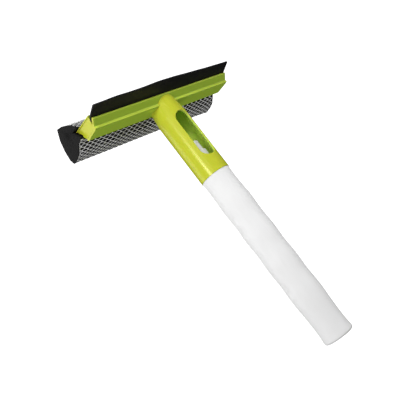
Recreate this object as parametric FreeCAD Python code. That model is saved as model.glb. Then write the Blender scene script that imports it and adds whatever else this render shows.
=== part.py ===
"""Hand window-cleaning squeegee: a rubber blade and a net-covered sponge on one head,
and a refillable spray bottle that is also the handle.

Frame, in millimetres: the origin is the centre of the bottle's base, +Z runs up the
handle to the head, +X runs along the blade, the blade points to -Y and the sponge to +Y.
"""
import FreeCAD, Part

import math
import os

V = FreeCAD.Vector
UP = V(0, 0, 1)
ALONG_X = V(1, 0, 0)
BASE_CENTRE = V(0, 0, 0)

# ---- driving dimensions -------------------------------------------------------------

# bottle
bottle_height = 210.2          # base to the shoulder that the head's sleeve comes down to
bottle_radius = 17.4           # mean radius of the grip
bottle_wall = 1.5
bottle_edge_radius = 3.0       # rounding of the base's edge
grip_swell = 0.3               # how far the grip swells and waists from its mean radius
grip_pitch = 37.5              # from one waist to the next
grip_waists = 5
first_waist_height = 38.0
mouth_height = 12.0            # shoulder to the mouth's rim
thread_room = 2.0              # bottle mouth's side to the sleeve's bore
mouth_wall = 1.8

# screw thread between the bottle's mouth and the head's sleeve
thread_pitch = 4.0
bottle_thread_depth = 1.5
bottle_thread_turns = 1.25
sleeve_thread_depth = 1.6
sleeve_thread_turns = 0.9
thread_root_width = 1.7
thread_crest_width = 0.9
thread_offset = 2.6            # shoulder to the start of the bottle's thread
thread_embed = 0.3             # how far a thread's ridge sinks into its wall

# head: neck sleeve
sleeve_step = 0.45             # neck's side outside the grip's mean radius
sleeve_wall = 2.25
neck_length = 95.2             # shoulder to the ridge under the blade
sleeve_roof = 7.0              # solid plastic between the bore's end and the ridge
shoulder_gap = 0.2             # sleeve's bottom edge to the bottle's shoulder
slot_width = 18.0              # finger window in the front of the neck
slot_length = 60.0
slot_bottom = 19.4             # shoulder to the window's lower end
slot_rim_radius = 0.7

# head: channel section, as (y, z above the ridge)
jaw_tip = (-16.9, 9.1)         # front jaw's free edge
jaw_root = (-10.0, 3.3)        # hollow where the front jaw meets the ridge
ridge = (-10.9, 0.0)
floor_heel = (11.4, 1.2)       # back edge of the lower wall
roof_heel = (22.5, 20.0)       # back edge of the upper wall
roof_lip = (-13.2, 15.9)       # front edge of the upper wall
web_top = (-11.3, 14.2)        # front face of the rear jaw, top and bottom
web_foot = (-7.3, 3.2)
head_length = 200.0
jaw_thickness = 2.3
channel_wall = 2.2
web_thickness = 2.0
lip_radius = 0.5               # rounding of the channel's free edges
hollow_radius = 1.2            # rounding of the hollow between the jaw and the ridge
cap_thickness = 2.0            # end cap's outer plate
cap_plug_depth = 6.0
cap_clearance = 0.15
cap_groove = 0.5               # open line between the end cap and the lower wall
cap_back_inset = 0.4           # end cap's back edge inside the channel's mouth
cap_recess = 0.6               # end cap's face inside the channel's ends
cap_edge = 1.0                 # upper wall left outside the end cap's plate
cap_hollow_start = 8.9         # lower wall's heel to the hollow in the end cap's back edge
cap_hollow_step = 1.3
cap_hollow_depth = 2.6
cap_corner_inset = 1.5         # end cap's upper back corner inside the channel's mouth
taper_gap = 0.6                # window's upper end to the start of the neck's taper
taper_slope = 0.1              # how much the neck's radius falls with height in the taper
neck_top_drop = 1.6            # front of the neck's top below the jaw's tip
neck_back_slope = 0.8          # fall of the neck's top behind the lower wall's heel

# blade
blade_overhang = 0.4           # how far the blade stands out at each end of the channel
blade_tip = (-30.2, 14.5)      # middle of the working edge
blade_tip_thickness = 1.6
blade_bead_radius = 1.5
bead_to_jaw = 1.04             # bead's middle to the front jaw's inner face
bead_to_web = 1.27             # bead's middle to the rear jaw's face
mouth_to_jaw = 1.86            # the bend where the blade leaves the channel, from the
mouth_to_web = 3.26            # same two faces carried on upwards
blade_lip_thickness = 2.4
blade_root_front = 0.7         # root's front and rear faces from its middle line
blade_root_rear = 0.9
blade_bend_radius = 1.6        # inside of the bend between root and lip
blade_edge_radius = 0.3
bead_clearance = 0.1

# sponge
sponge_overhang = 4.0          # how far the sponge stands out at each end of the channel
sponge_outline = (             # outside of the net, as (y, z above the ridge)
    (11.2, 20.8), (19.4, 30.0), (30.8, 37.2), (40.8, 40.8),
    (48.8, 31.0), (53.2, 19.0), (54.6, 8.4), (52.2, 0.9),
    (41.0, 0.8), (33.6, 2.0), (28.6, 5.2), (23.6, 8.0))
sponge_corner_radius = 3.0
sponge_seat_height = 6.9       # where the sponge's underside meets the carrier
net_thickness = 0.8
sponge_seat_gap = 0.2          # net to the channel's walls and to its mouth
carrier_inset = 0.2            # carrier's back face inside the channel's mouth
carrier_thickness = 2.2
carrier_clearance = 0.15
barb_depth = 0.9               # carrier's back face to its barbs
barb_thickness = 1.2
barb_reach = 0.9               # how far the barbs sink into the channel's walls
barb_clearance = 0.15

# pump
gasket_thickness = 1.5
gasket_inset = 0.1             # gasket's hole outside the mouth's bore
collar_flange_thickness = 2.5
collar_clearance = 0.1
ledge_width = 2.0              # ring inside the sleeve that the collar's flange seats on
ledge_thickness = 1.6
turret_wall = 1.3
turret_height = 30.8           # shoulder to the turret's top
actuator_radius = 7.5
actuator_height = 44.2         # shoulder to the button's top at rest
actuator_skirt = 20.4          # length of the button from its top to the skirt's edge
actuator_clearance = 0.4
actuator_edge_radius = 1.4
button_wall = 1.4
boss_length = 6.0              # how far the boss reaches down the stem
dish_rim = 2.4                 # width of the rim round the dished top
dish_depth = 0.9
stroke = 5.5
nozzle_height = 38.8           # shoulder to the nozzle's axis
nozzle_radius = 2.6
nozzle_depth = 3.0
nozzle_inset = 0.4             # nozzle's face inside the button's side
riser_radius = 0.8
nozzle_orifice_radius = 0.3
stem_radius = 2.0
stem_bore_radius = 1.0
stem_guide_radius = 5.0
stem_guide_thickness = 3.0
guide_flange_width = 1.0
guide_flange_thickness = 0.8
stem_seat_depth = 10.4         # button's top to the stem's top
stem_clearance = 0.08
chamber_radius = 4.3
chamber_wall = 1.3
chamber_length = 15.0          # housing's flange to the spring's ledge
piston_clearance = 0.04
piston_length = 4.0
piston_headroom = 1.2          # piston to the stem guide at rest
piston_lip = 1.2
piston_waist = 0.6
housing_flange_width = 4.2     # chamber's side to the flange's edge
housing_flange_thickness = 1.8
housing_seal_thickness = 0.8
seal_inset = 0.3
skirt_gap = 0.1                # collar's skirt to the housing's flange
skirt_wall = 1.4
snap_bead = 0.6
spring_side_gap = 0.65         # coil to the chamber's side
spring_wire_radius = 0.35
spring_turns = 6.0
spring_gap = 0.05
ball_radius = 1.5875
ball_seat_radius = 1.2
ball_side_gap = 0.5
ball_lift = 1.0
ball_headroom = 0.05
ball_stop_radius = 1.35
ball_stop_thickness = 0.7
ball_seat_thickness = 2.0
ball_gap = 0.02
outlet_ball_radius = 1.3
outlet_side_gap = 0.4
outlet_lift = 0.8
outlet_headroom = 0.25
tube_radius = 2.0
tube_wall = 0.6
tube_socket_depth = 8.5
tube_base_gap = 4.0            # tube's tip to the bottle's floor
tail_wall = 1.4

# ---- sizes and levels worked out from the dimensions above --------------------------------------

sleeve_radius = bottle_radius + sleeve_step
bore_radius = sleeve_radius - sleeve_wall
mouth_radius = bore_radius - thread_room
mouth_bore_radius = mouth_radius - mouth_wall
turret_bore_radius = actuator_radius + actuator_clearance
turret_radius = turret_bore_radius + turret_wall
housing_flange_radius = chamber_radius + housing_flange_width
spring_coil_radius = chamber_radius - spring_side_gap - spring_wire_radius
ball_room_radius = ball_radius + ball_side_gap
outlet_room_radius = outlet_ball_radius + outlet_side_gap
blade_length = head_length + 2 * blade_overhang
sponge_length = head_length + 2 * sponge_overhang
inner_length = head_length - 2 * (cap_thickness + cap_recess)

shoulder_z = bottle_height
rim_z = shoulder_z + mouth_height
flange_z = rim_z + gasket_thickness
flange_top_z = flange_z + collar_flange_thickness
turret_top_z = shoulder_z + turret_height
button_top_z = shoulder_z + actuator_height
button_skirt_z = button_top_z - actuator_skirt
ridge_z = shoulder_z + neck_length
bore_top_z = ridge_z - sleeve_roof
guide_top_z = flange_z + stem_guide_thickness
housing_top_z = flange_z - housing_seal_thickness
ledge_z = housing_top_z - housing_flange_thickness - chamber_length
ball_room_z = ledge_z - ball_stop_thickness
piston_top_z = flange_z - piston_headroom
stem_bottom_z = piston_top_z - piston_length
stem_top_z = button_top_z - stem_seat_depth
boss_bottom_z = stem_top_z - boss_length
nozzle_z = shoulder_z + nozzle_height
seat_z = (ball_room_z - ball_headroom - ball_lift - ball_gap - ball_radius
          - math.sqrt(ball_radius ** 2 - ball_seat_radius ** 2))
seat_under_z = seat_z - ball_seat_thickness
socket_z = seat_under_z - tube_socket_depth
sleeve_bottom_z = shoulder_z + shoulder_gap
thread_start_z = shoulder_z + thread_offset
window_bottom_z = shoulder_z + slot_bottom
window_top_z = window_bottom_z + slot_length
taper_z = window_top_z + taper_gap


# ---- helpers ------------------------------------------------------------------------

def ring(outer, inner, bottom, top):
    """A plain round tube, or a disc where inner is 0, about the Z axis."""
    body = Part.makeCylinder(outer, top - bottom, V(0, 0, bottom))
    if inner > 0:
        body = body.cut(Part.makeCylinder(inner, top - bottom, V(0, 0, bottom)))
    return body


def turned(points):
    """A solid of revolution about Z from a closed outline of (radius, z) points."""
    corners = [V(r, 0, z) for r, z in points]
    face = Part.Face(Part.makePolygon(corners + corners[:1]))
    return face.revolve(BASE_CENTRE, UP, 360)


def place(point):
    """A point of the head's section, (y, z above the ridge), as a vector."""
    return V(0, point[0], ridge_z + point[1])


def shifted(p, q, distance):
    """The line from p to q moved sideways, to the left of its direction, in the YZ plane."""
    along = (q - p).normalize()
    left = V(0, -along.z, along.y)
    return p + left * distance, q + left * distance


def meet(line_a, line_b):
    """Where two lines in the YZ plane cross."""
    p, q = line_a
    r, s = line_b
    d, e = q - p, s - r
    cross = d.y * e.z - d.z * e.y
    t = ((r.y - p.y) * e.z - (r.z - p.z) * e.y) / cross
    return p + d * t


def rounded_wire(corners, radii):
    """A closed wire through the corners, each rounded to its own radius (0 is sharp)."""
    count = len(corners)
    spans = []
    for i, corner in enumerate(corners):
        if radii[i] <= 0:
            spans.append((corner, corner, corner))
            continue
        back = (corners[i - 1] - corner).normalize()
        ahead = (corners[(i + 1) % count] - corner).normalize()
        half = back.getAngle(ahead) / 2
        middle = (back + ahead).normalize()
        tangent = radii[i] / math.tan(half)
        centre = corner + middle * (radii[i] / math.sin(half))
        spans.append((corner + back * tangent, centre - middle * radii[i], corner + ahead * tangent))
    edges = []
    for i, (start, mid, end) in enumerate(spans):
        if radii[i] > 0:
            edges.append(Part.Arc(start, mid, end).toShape())
        following = spans[(i + 1) % count][0]
        if (following - end).Length > 1e-6:
            edges.append(Part.LineSegment(end, following).toShape())
    return Part.Wire(edges)


def bar(wire, length, middle=0.0):
    """The face inside a wire of the YZ plane, extruded along X about a middle."""
    face = Part.Face(wire)
    face.translate(V(middle - length / 2, 0, 0))
    return face.extrude(ALONG_X * length)


def sharp_bar(corners, length, middle=0.0):
    """A bar with a sharp-cornered section."""
    return bar(Part.makePolygon(corners + corners[:1]), length, middle)


def helical_ridge(wall_radius, crest_radius, bottom, turns):
    """A screw thread's ridge: a trapezium carried along a right-hand helix."""
    embed = thread_embed if wall_radius < crest_radius else -thread_embed
    helix = Part.makeHelix(thread_pitch, thread_pitch * turns, wall_radius)
    helix.translate(V(0, 0, bottom))
    root, crest = thread_root_width / 2, thread_crest_width / 2
    outline = [V(wall_radius - embed, 0, bottom - root), V(wall_radius, 0, bottom - root),
               V(crest_radius, 0, bottom - crest), V(crest_radius, 0, bottom + crest),
               V(wall_radius, 0, bottom + root), V(wall_radius - embed, 0, bottom + root)]
    profile = Part.makePolygon(outline + outline[:1])
    return Part.Wire(helix).makePipeShell([profile], True, True)


# ---- head section: lines that several pieces share ------------------------------------

tip, root_hollow, ridge_point = place(jaw_tip), place(jaw_root), place(ridge)
heel_low, heel_high, lip = place(floor_heel), place(roof_heel), place(roof_lip)
web_high, web_low = place(web_top), place(web_foot)

jaw_inside = shifted(root_hollow, tip, -jaw_thickness)
floor_inside = shifted(ridge_point, heel_low, channel_wall)
roof_inside = shifted(lip, heel_high, -channel_wall)
web_front = (web_low, web_high)
web_back = shifted(web_low, web_high, -web_thickness)
mouth_line = (heel_low, heel_high)
bead_middle = meet(shifted(*jaw_inside, -bead_to_jaw), shifted(*web_front, bead_to_web))
blade_mouth = meet(shifted(*jaw_inside, -mouth_to_jaw), shifted(*web_front, mouth_to_web))


# ---- head -----------------------------------------------------------------------------

def make_channel():
    """The channel: front jaw, lower wall, rear jaw web and upper wall, joined."""
    jaw_foot = meet(jaw_inside, floor_inside)
    jaw = bar(rounded_wire([tip, jaw_inside[1], jaw_foot, ridge_point, root_hollow],
                           [lip_radius, lip_radius, 0, lip_radius, hollow_radius]), head_length)
    floor_end = meet(floor_inside, mouth_line)
    lower = bar(rounded_wire([ridge_point, heel_low, floor_end, jaw_foot],
                             [lip_radius, lip_radius, lip_radius, 0]), head_length)
    roof_end = meet(roof_inside, mouth_line)
    roof_front = meet(roof_inside, web_front)
    upper = bar(rounded_wire([lip, roof_front, roof_end, heel_high],
                             [lip_radius, 0, lip_radius, lip_radius]), head_length)
    floor_middle = shifted(ridge_point, heel_low, channel_wall / 2)
    roof_middle = shifted(lip, heel_high, -channel_wall / 2)
    web = sharp_bar([meet(web_front, floor_middle), meet(web_back, floor_middle),
                     meet(web_back, roof_middle), meet(web_front, roof_middle)], inner_length)
    return jaw.fuse([lower, upper, web]).removeSplitter()


def make_neck():
    """The neck: a round post carried up to the channel and trimmed to its underside."""
    front = sleeve_radius + 1
    jaw_middle = shifted(root_hollow, tip, -jaw_thickness / 2)
    floor_middle = shifted(ridge_point, heel_low, channel_wall / 2)
    back_drop = (front - floor_heel[0]) * neck_back_slope
    trim = sharp_bar([V(0, -front, sleeve_bottom_z), V(0, -front, tip.z - neck_top_drop),
                      tip - V(0, 0, lip_radius), jaw_middle[1] - V(0, 0, lip_radius),
                      meet(jaw_middle, floor_middle), meet(floor_middle, mouth_line), heel_low,
                      heel_low + V(0, front - heel_low.y, -back_drop),
                      V(0, front, sleeve_bottom_z)], 3 * sleeve_radius)
    post = ring(sleeve_radius, 0, sleeve_bottom_z, taper_z)
    height = tip.z - taper_z
    cone = Part.makeCone(sleeve_radius, sleeve_radius - taper_slope * height, height,
                         V(0, 0, taper_z))
    return post.fuse(cone).common(trim)


def finger_window():
    """The long window in the front of the neck: a stadium carried along Y."""
    half = slot_width / 2
    low, high = window_bottom_z + half, window_top_z - half
    depth = sleeve_radius + 2
    ends = [Part.makeCylinder(half, depth, V(0, -depth, z), V(0, 1, 0)) for z in (low, high)]
    middle = Part.makeBox(slot_width, depth, high - low, V(-half, -depth, low))
    return middle.fuse(ends)


def with_round_window_rim(head):
    """The head with the finger window's outer edge rounded."""
    rim = []
    for edge in head.Edges:
        box, start = edge.BoundBox, edge.Vertexes[0]
        outside = abs(math.hypot(start.X, start.Y) - sleeve_radius) < 0.01
        at_window = box.ZMin > window_bottom_z - 0.5 and box.ZMax < window_top_z + 0.5
        if outside and at_window and start.Y < 0 and abs(start.X) < slot_width / 2 + 0.1:
            rim.append(edge)
    return head.makeFillet(slot_rim_radius, rim)


def blade_keyhole():
    """The round seat of the blade's bead, cut from end to end of the channel."""
    length = head_length + 2
    return Part.makeCylinder(blade_bead_radius + bead_clearance, length,
                             bead_middle - ALONG_X * (length / 2), ALONG_X)


def barb_bar(reach, spread, length):
    """The carrier's barbs, or with a spread their grooves, as one bar across the channel."""
    near = shifted(*mouth_line, carrier_inset + barb_depth - spread)
    far = shifted(*mouth_line, carrier_inset + barb_depth + barb_thickness + spread)
    low = shifted(*floor_inside, -reach)
    high = shifted(*roof_inside, reach)
    return sharp_bar([meet(low, near), meet(low, far), meet(high, far), meet(high, near)], length)


def cap_rebate(side):
    """The room in the upper wall's end that the end cap's plate sits in."""
    end = (head_length - inner_length) / 2
    outer = shifted(lip, heel_high, -cap_edge)
    inner = shifted(*roof_inside, -cap_clearance)
    front = shifted(*web_front, 0)
    beyond = shifted(*mouth_line, -1)
    return sharp_bar([meet(front, inner), meet(beyond, inner), meet(beyond, outer),
                      meet(front, outer)], end + 1, side * (inner_length + end + 1) / 2)


def make_head_frame():
    """The head in one moulding: channel, neck, finger window, ledge and internal thread."""
    head = make_channel().fuse(make_neck())
    head = head.cut(ring(bore_radius, 0, sleeve_bottom_z - 1, bore_top_z))
    head = head.cut(finger_window())
    head = head.cut(blade_keyhole())
    head = head.cut(barb_bar(barb_reach + barb_clearance, barb_clearance, inner_length))
    for side in (-1, 1):
        head = head.cut(cap_rebate(side))
    head = with_round_window_rim(head.removeSplitter())
    ledge = ring(bore_radius + sleeve_wall / 2, bore_radius - ledge_width,
                 flange_top_z, flange_top_z + ledge_thickness)
    thread = helical_ridge(bore_radius, bore_radius - sleeve_thread_depth,
                           thread_start_z + thread_pitch / 2, sleeve_thread_turns)
    return head.fuse([ledge, thread])


def make_end_cap(side):
    """One end cap: a plate over the rear jaw's end, and a plug inside the channel."""
    low = shifted(*floor_inside, cap_groove)
    high = shifted(*roof_inside, -cap_clearance)
    under_edge = shifted(lip, heel_high, -cap_edge - cap_clearance)
    back = shifted(*mouth_line, cap_back_inset)
    hollow = shifted(*mouth_line, cap_hollow_depth)
    corner = shifted(*mouth_line, cap_corner_inset)
    up = (heel_high - heel_low).normalize()
    front = shifted(*web_front, -cap_clearance)
    beside_jaw = shifted(*jaw_inside, -cap_clearance)
    plate = sharp_bar([meet(front, beside_jaw), meet(beside_jaw, low), meet(low, back),
                       back[0] + up * cap_hollow_start,
                       hollow[0] + up * (cap_hollow_start + cap_hollow_step),
                       meet(under_edge, corner), meet(front, under_edge)],
                      cap_thickness, side * (inner_length + cap_thickness) / 2)
    plate = plate.cut(blade_keyhole())
    plug_front = shifted(*web_back, -cap_clearance)
    plug_back = shifted(*mouth_line, carrier_inset + carrier_thickness + carrier_clearance)
    plug = sharp_bar([meet(plug_front, low), meet(low, plug_back), meet(high, plug_back),
                      meet(plug_front, high)], cap_plug_depth,
                     side * (inner_length - cap_plug_depth) / 2)
    return plate.fuse(plug).removeSplitter()


# ---- blade and sponge -------------------------------------------------------------------

def make_blade():
    """The rubber blade: a bead in the keyhole, a bent root and a straight tapering lip."""
    edge = place(blade_tip)
    root_front = shifted(bead_middle, blade_mouth, blade_root_front)
    root_rear = shifted(bead_middle, blade_mouth, -blade_root_rear)
    half_lip, half_tip = blade_lip_thickness / 2, blade_tip_thickness / 2
    tip_low = shifted(blade_mouth, edge, half_tip)[1]
    tip_high = shifted(blade_mouth, edge, -half_tip)[1]
    lip_low = (shifted(blade_mouth, edge, half_lip)[0], tip_low)
    lip_high = (shifted(blade_mouth, edge, -half_lip)[0], tip_high)
    section = rounded_wire([root_front[0], meet(root_front, lip_low), tip_low, tip_high,
                            meet(root_rear, lip_high), root_rear[0]],
                           [0, blade_bend_radius, blade_edge_radius, blade_edge_radius,
                            blade_bend_radius + blade_lip_thickness, 0])
    bead = Part.makeCylinder(blade_bead_radius, blade_length,
                             bead_middle - ALONG_X * (blade_length / 2), ALONG_X)
    return bar(section, blade_length).fuse(bead).removeSplitter()


def sponge_wire():
    """The outside of the net: seated on the channel's mouth and roof, flared to the back."""
    seat = shifted(*mouth_line, -sponge_seat_gap)
    roof = shifted(lip, heel_high, sponge_seat_gap)
    outline = [place(point) for point in sponge_outline]
    first = outline[0]
    level = place((0, sponge_seat_height))
    corners = [meet(seat, (level, level + V(0, 1, 0))), meet(roof, seat),
               meet(roof, (first, first + V(0, 0, 1)))] + outline
    radii = [0, 0, 0, sponge_corner_radius / 2] + [sponge_corner_radius] * (len(outline) - 1)
    return rounded_wire(corners, radii)


def make_sponge():
    """The foam block and the net sleeve drawn over it."""
    outside = Part.Face(sponge_wire())
    inside = outside.makeOffset2D(-net_thickness, 2)
    foam_face = Part.Face(inside.OuterWire)
    start = V(-sponge_length / 2, 0, 0)
    for face in (outside, foam_face):
        face.translate(start)
    foam = foam_face.extrude(ALONG_X * sponge_length)
    net = outside.cut(foam_face).extrude(ALONG_X * sponge_length)
    return foam, net


def make_sponge_carrier():
    """The strip that the net and foam are bonded to, with barbs that snap into the channel."""
    length = inner_length - 2 * carrier_clearance
    near = shifted(*mouth_line, carrier_inset)
    far = shifted(*mouth_line, carrier_inset + carrier_thickness)
    low = shifted(*floor_inside, carrier_clearance)
    high = shifted(*roof_inside, -carrier_clearance)
    strip = sharp_bar([meet(low, near), meet(low, far), meet(high, far), meet(high, near)], length)
    return strip.fuse(barb_bar(barb_reach, 0, length)).removeSplitter()


# ---- bottle -----------------------------------------------------------------------------

def grip_edge(offset, bottom, top):
    """The wavy side of the grip, moved in by an offset, as a smooth edge between two levels."""
    points = [V(bottle_radius - offset, 0, bottom)]
    for step in range(2 * grip_waists):
        level = first_waist_height + step * grip_pitch / 2
        sign = -1 if step % 2 == 0 else 1
        if bottom + 4 < level < top - 4:
            points.append(V(bottle_radius + sign * grip_swell - offset, 0, level))
    points.append(V(bottle_radius - offset, 0, top))
    side = Part.BSplineCurve()
    side.interpolate(points)
    return side.toShape()


def make_bottle():
    """The bottle: a flat base, a gently waved grip, a shoulder and a threaded mouth."""
    floor_z, ceiling_z = bottle_wall, shoulder_z - bottle_wall
    side_start, side_end = V(bottle_radius, 0, bottle_edge_radius), V(bottle_radius, 0, shoulder_z)
    lean = bottle_edge_radius * (1 - math.sqrt(0.5))
    base_arc = Part.Arc(V(bottle_radius - bottle_edge_radius, 0, 0),
                        V(bottle_radius - lean, 0, lean), side_start).toShape()
    outer = [V(mouth_radius, 0, shoulder_z), V(mouth_radius, 0, rim_z),
             V(mouth_bore_radius, 0, rim_z), V(mouth_bore_radius, 0, ceiling_z),
             V(bottle_radius - bottle_wall, 0, ceiling_z)]
    inner_bottom = V(bottle_radius - bottle_wall, 0, bottle_edge_radius)
    edges = [base_arc, grip_edge(0, bottle_edge_radius, shoulder_z)]
    for start, end in zip([side_end] + outer[:-1], outer):
        edges.append(Part.LineSegment(start, end).toShape())
    edges.append(grip_edge(bottle_wall, bottle_edge_radius, ceiling_z))
    low_corner = V(bottle_radius - bottle_edge_radius, 0, floor_z)
    centre_floor, centre_base = V(0, 0, floor_z), V(0, 0, 0)
    for start, end in ((inner_bottom, low_corner), (low_corner, centre_floor),
                       (centre_floor, centre_base), (centre_base, V(low_corner.x, 0, 0))):
        edges.append(Part.LineSegment(start, end).toShape())
    wire = Part.Wire(Part.__sortEdges__(edges))
    shell = Part.Face(wire).revolve(BASE_CENTRE, UP, 360)
    thread = helical_ridge(mouth_radius, mouth_radius + bottle_thread_depth,
                           thread_start_z, bottle_thread_turns)
    return shell.fuse(thread)


# ---- pump -------------------------------------------------------------------------------

def make_mouth_gasket():
    """The flat seal between the bottle's rim and the pump collar."""
    return ring(mouth_radius, mouth_bore_radius + gasket_inset, rim_z, flange_z)


def make_pump_collar():
    """The collar: a flange in the sleeve, a turret round the button, a skirt on the housing."""
    guide_flange_radius = stem_guide_radius + guide_flange_width
    skirt_outer = housing_flange_radius + skirt_gap + skirt_wall
    skirt_bottom = housing_top_z - housing_flange_thickness - snap_bead
    collar = turned([
        (stem_guide_radius, flange_z + guide_flange_thickness), (stem_guide_radius, guide_top_z),
        (turret_bore_radius, guide_top_z), (turret_bore_radius, turret_top_z),
        (turret_radius, turret_top_z), (turret_radius, flange_top_z),
        (bore_radius - collar_clearance, flange_top_z), (bore_radius - collar_clearance, flange_z),
        (skirt_outer, flange_z), (skirt_outer, skirt_bottom),
        (housing_flange_radius - snap_bead, skirt_bottom),
        (housing_flange_radius - snap_bead, skirt_bottom + snap_bead),
        (housing_flange_radius + skirt_gap, skirt_bottom + snap_bead),
        (housing_flange_radius + skirt_gap, flange_z), (guide_flange_radius, flange_z),
        (guide_flange_radius, flange_z + guide_flange_thickness)])
    return collar


def make_stem_guide():
    """The bush in the collar's centre that the stem slides through."""
    hole = stem_radius + stem_clearance
    flange_top = flange_z + guide_flange_thickness
    flange_radius = stem_guide_radius + guide_flange_width
    return turned([(hole, flange_z), (flange_radius, flange_z), (flange_radius, flange_top),
                   (stem_guide_radius, flange_top), (stem_guide_radius, guide_top_z),
                   (hole, guide_top_z)])


def make_housing_seal():
    """The ring seal between the pump housing's flange and the collar."""
    return ring(housing_flange_radius, chamber_radius + seal_inset, housing_top_z, flange_z)


def make_pump_housing():
    """The pump's cylinder: flange, chamber, ball room with its seat, and the tube's socket."""
    flange_under = housing_top_z - housing_flange_thickness
    body_radius = chamber_radius + chamber_wall
    tail_radius = ball_room_radius + tail_wall
    step_z = ball_room_z - tail_wall
    return turned([
        (chamber_radius, housing_top_z), (housing_flange_radius, housing_top_z),
        (housing_flange_radius, flange_under), (body_radius, flange_under),
        (body_radius, step_z), (tail_radius, step_z - (body_radius - tail_radius)),
        (tail_radius, socket_z), (tube_radius, socket_z), (tube_radius, seat_under_z),
        (ball_seat_radius, seat_under_z), (ball_seat_radius, seat_z), (ball_room_radius, seat_z),
        (ball_room_radius, ball_room_z), (ball_stop_radius, ball_room_z),
        (ball_stop_radius, ledge_z), (chamber_radius, ledge_z)])


def make_piston():
    """The piston: a sleeve on the stem's foot with two sealing lips and a waist between."""
    rim = chamber_radius - piston_clearance
    waist = rim - piston_waist
    low, high = stem_bottom_z + piston_lip, piston_top_z - piston_lip
    return turned([(stem_radius, stem_bottom_z), (rim, stem_bottom_z), (rim, low), (waist, low),
                   (waist, high), (rim, high), (rim, piston_top_z), (stem_radius, piston_top_z)])


def make_return_spring():
    """The coil spring between the chamber's ledge and the piston."""
    bottom = ledge_z + spring_wire_radius + spring_gap
    height = stem_bottom_z - ledge_z - 2 * (spring_wire_radius + spring_gap)
    helix = Part.makeHelix(height / spring_turns, height, spring_coil_radius)
    helix.translate(V(0, 0, bottom))
    wire_end = Part.Circle(V(spring_coil_radius, 0, bottom), V(0, 1, 0), spring_wire_radius)
    return Part.Wire(helix).makePipeShell([Part.Wire(wire_end.toShape())], True, True)


def make_button():
    """The button: a capped cylinder with a dished top, a boss on the stem and a spray way."""
    skirt_inner = actuator_radius - button_wall
    boss_radius = stem_radius + button_wall
    rise = math.sqrt(outlet_ball_radius ** 2 - stem_bore_radius ** 2)
    room_top = (stem_top_z + rise + ball_gap + outlet_ball_radius + outlet_lift + outlet_headroom)
    dish = actuator_radius - dish_rim
    outline = [(stem_radius, boss_bottom_z), (boss_radius, boss_bottom_z), (boss_radius, stem_top_z),
               (skirt_inner, stem_top_z), (skirt_inner, button_skirt_z),
               (actuator_radius, button_skirt_z), (actuator_radius, button_top_z),
               (dish, button_top_z), (0, button_top_z - dish_depth), (0, nozzle_z + riser_radius),
               (riser_radius, nozzle_z + riser_radius), (riser_radius, room_top),
               (outlet_room_radius, room_top), (outlet_room_radius, stem_top_z),
               (stem_radius, stem_top_z)]
    radii = [0] * len(outline)
    radii[6] = actuator_edge_radius
    radii[7] = actuator_edge_radius
    wire = rounded_wire([V(r, 0, z) for r, z in outline], radii)
    button = Part.Face(wire).revolve(BASE_CENTRE, UP, 360)
    pocket_depth = nozzle_depth + 1
    pocket = Part.makeCylinder(nozzle_radius, pocket_depth, V(0, -actuator_radius - 1, nozzle_z), V(0, 1, 0))
    way = Part.makeCylinder(riser_radius, actuator_radius, V(0, -actuator_radius, nozzle_z), V(0, 1, 0))
    return button.cut(pocket).cut(way)


def make_nozzle_insert():
    """The nozzle: a cup pressed into the button's pocket, with a swirl room and a fine orifice."""
    back = -actuator_radius + nozzle_depth
    front = -actuator_radius + nozzle_inset
    body = Part.makeCylinder(nozzle_radius, back - front, V(0, front, nozzle_z), V(0, 1, 0))
    swirl = Part.makeCylinder(nozzle_radius / 2, (back - front) / 2,
                              V(0, (back + front) / 2, nozzle_z), V(0, 1, 0))
    orifice = Part.makeCylinder(nozzle_orifice_radius, back - front, V(0, front, nozzle_z), V(0, 1, 0))
    return body.cut(swirl).cut(orifice)


def ball_on_seat(radius, seat_radius, seat_level):
    """A ball resting on the edge of a round hole, a hair above it."""
    rise = math.sqrt(radius ** 2 - seat_radius ** 2)
    return Part.makeSphere(radius, V(0, 0, seat_level + rise + ball_gap))


def make_dip_tube():
    """The dip tube, from the housing's socket to just above the bottle's floor, cut slanting."""
    tube = ring(tube_radius, tube_radius - tube_wall, bottle_wall + tube_base_gap, seat_under_z)
    low = bottle_wall + tube_base_gap
    slant = sharp_bar([V(0, -tube_radius - 1, low - 1), V(0, tube_radius + 1, low - 1),
                       V(0, tube_radius + 1, low + 2 * tube_radius)], 3 * tube_radius)
    return tube.cut(slant)


# ---- write one file for each piece --------------------------------------------------------

def main():
    """Build every piece and write it to parts/NAME.step."""
    foam, net = make_sponge()
    pieces = {
        "head_frame": make_head_frame(),
        "end_cap_left": make_end_cap(-1),
        "end_cap_right": make_end_cap(1),
        "squeegee_blade": make_blade(),
        "sponge_foam": foam,
        "sponge_net": net,
        "sponge_carrier": make_sponge_carrier(),
        "bottle": make_bottle(),
        "mouth_gasket": make_mouth_gasket(),
        "pump_collar": make_pump_collar(),
        "stem_guide": make_stem_guide(),
        "housing_seal": make_housing_seal(),
        "pump_housing": make_pump_housing(),
        "pump_piston": make_piston(),
        "pump_stem": ring(stem_radius, stem_bore_radius, stem_bottom_z, stem_top_z),
        "return_spring": make_return_spring(),
        "inlet_ball": ball_on_seat(ball_radius, ball_seat_radius, seat_z),
        "outlet_ball": ball_on_seat(outlet_ball_radius, stem_bore_radius, stem_top_z),
        "spray_button": make_button(),
        "nozzle_insert": make_nozzle_insert(),
        "dip_tube": make_dip_tube(),
    }
    os.makedirs("parts", exist_ok=True)
    for name, shape in pieces.items():
        solids = shape.Solids
        print(f"{name:16s} solids {len(solids)} volume {shape.Volume:10.2f} valid {shape.isValid()}")
        shape.exportStep(f"parts/{name}.step")


main()
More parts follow.
